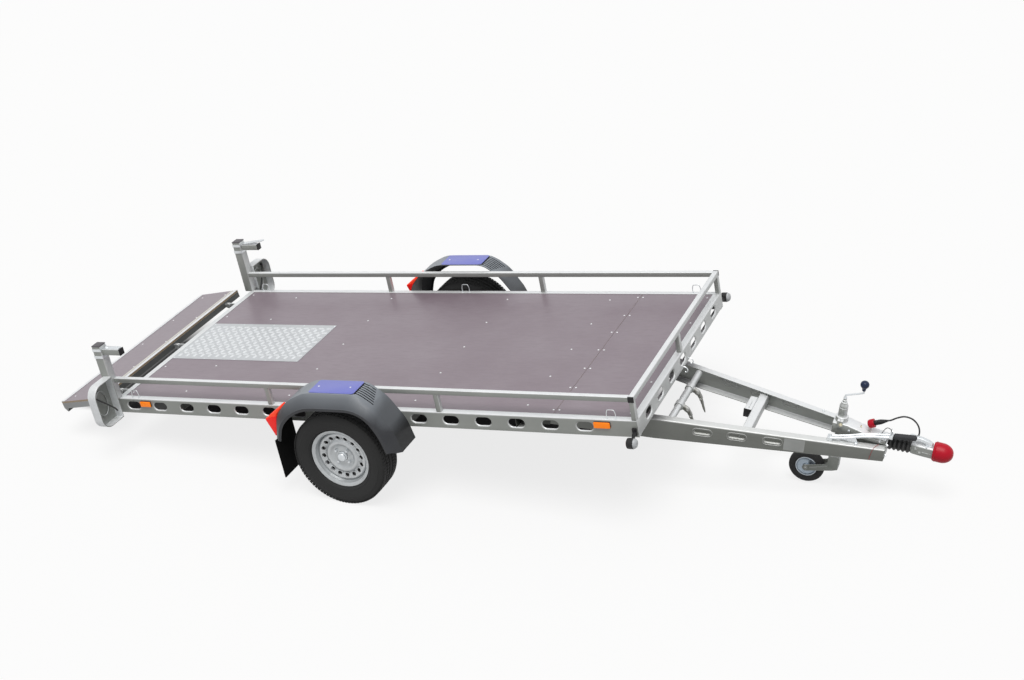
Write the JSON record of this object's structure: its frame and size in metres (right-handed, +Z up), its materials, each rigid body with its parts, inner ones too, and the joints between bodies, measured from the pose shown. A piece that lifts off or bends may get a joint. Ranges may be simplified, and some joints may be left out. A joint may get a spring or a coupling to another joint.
{
  "type": "motorcycle trailer",
  "caption": "Single-axle flatbed trailer with a tilting bed, hinged drawbar, folding rear ramp, low railing and folded jockey wheel.",
  "frame": {"origin": "middle of the bounding box, on the floor", "axes": "+X forward to the coupling, +Y to the left, +Z up; the bed is tilted rear-down as in the picture"},
  "size_m": [5.3444, 2, 0.8631],
  "materials": {
    "galvanised_steel": "hot-dip galvanised, satin with faint spangle",
    "brown_plywood": "phenolic film-faced plywood, satin",
    "tread_aluminium": "embossed tread pattern",
    "tyre_rubber": "matt rubber",
    "silver_rim": "silver paint, satin",
    "black_plastic": "moulded, satin",
    "red_lamp": "glossy lens",
    "amber_lamp": "glossy lens",
    "red_plastic": "satin moulded",
    "grey_grip": "satin moulded"
  },
  "bodies": {
    "bed": {"axle_tube": "galvanised_steel", "bearer_1": "galvanised_steel", "bearer_2": "galvanised_steel", "bearer_3": "galvanised_steel", "bearer_4": "galvanised_steel", "corner_tray_left": "galvanised_steel", "corner_tray_right": "galvanised_steel", "deck_front": "brown_plywood", "deck_main": "brown_plywood", "fender_left": "black_plastic", "fender_right": "black_plastic", "hinge_shaft": "galvanised_steel", "mud_flap_left": "black_plastic", "mud_flap_right": "black_plastic", "position_lamp_left": "black_plastic", "position_lamp_right": "black_plastic", "rail_front": "galvanised_steel", "rail_left": "galvanised_steel", "rail_rear": "galvanised_steel", "rail_right": "galvanised_steel", "railing_front": "galvanised_steel", "railing_left": "galvanised_steel", "railing_right": "galvanised_steel", "rear_post_left": "galvanised_steel", "rear_post_right": "galvanised_steel", "side_marker_1": "amber_lamp", "side_marker_2": "amber_lamp", "side_marker_3": "amber_lamp", "side_marker_4": "amber_lamp", "swing_arm_left": "galvanised_steel", "swing_arm_right": "galvanised_steel", "tail_lamp_left": "red_lamp", "tail_lamp_right": "red_lamp", "tread_plate": "tread_aluminium"},
    "ramp": {"ramp_frame": "galvanised_steel", "ramp_board": "brown_plywood"},
    "drawbar": {"drawbar_beam_left": "galvanised_steel", "drawbar_beam_right": "galvanised_steel", "latch_tube": "galvanised_steel", "cross_member": "galvanised_steel", "hitch_body": "galvanised_steel", "bellows": "black_plastic", "coupling_head": "galvanised_steel", "coupling_handle": "galvanised_steel", "coupling_cap": "red_plastic", "brake_lever": "galvanised_steel", "lever_grip": "grey_grip", "plug": "black_plastic", "jockey_tube": "galvanised_steel", "jockey_crank": "galvanised_steel", "plug_lead": "black_plastic", "breakaway_lead": "black_plastic"},
    "jockey_leg": {"jockey_fork": "galvanised_steel"},
    "jockey_wheel": {"jockey_tyre": "tyre_rubber", "jockey_rim": "silver_rim"},
    "wheel_left": {"tyre_left": "tyre_rubber", "rim_left": "silver_rim"},
    "wheel_right": {"tyre_right": "tyre_rubber", "rim_right": "silver_rim"}
  },
  "joints": [
    {"name": "drawbar_tilt", "type": "hinge", "parent": "bed", "child": "drawbar", "pos_m": [0.52211, 0, 0.48104], "axis": [0, 1, 0], "range_deg": [-13.2, 0]},
    {"name": "ramp_hinge", "type": "hinge", "parent": "bed", "child": "ramp", "pos_m": [-2.3193, 0, 0.29114], "axis": [0, 1, 0], "range_deg": [0, 97]},
    {"name": "jockey_slide", "type": "slide", "parent": "drawbar", "child": "jockey_leg", "axis": [-0.1199, 0, -0.9928], "range_m": [0, 0.15]},
    {"name": "jockey_wheel_spin", "type": "hinge", "parent": "jockey_leg", "child": "jockey_wheel", "pos_m": [1.88425, 0, 0.1], "axis": [0, 1, 0], "continuous": true},
    {"name": "wheel_left_spin", "type": "hinge", "parent": "bed", "child": "wheel_left", "pos_m": [-0.56366, 0, 0.292], "axis": [0, 1, 0], "continuous": true},
    {"name": "wheel_right_spin", "type": "hinge", "parent": "bed", "child": "wheel_right", "pos_m": [-0.56366, 0, 0.292], "axis": [0, 1, 0], "continuous": true}
  ]
}
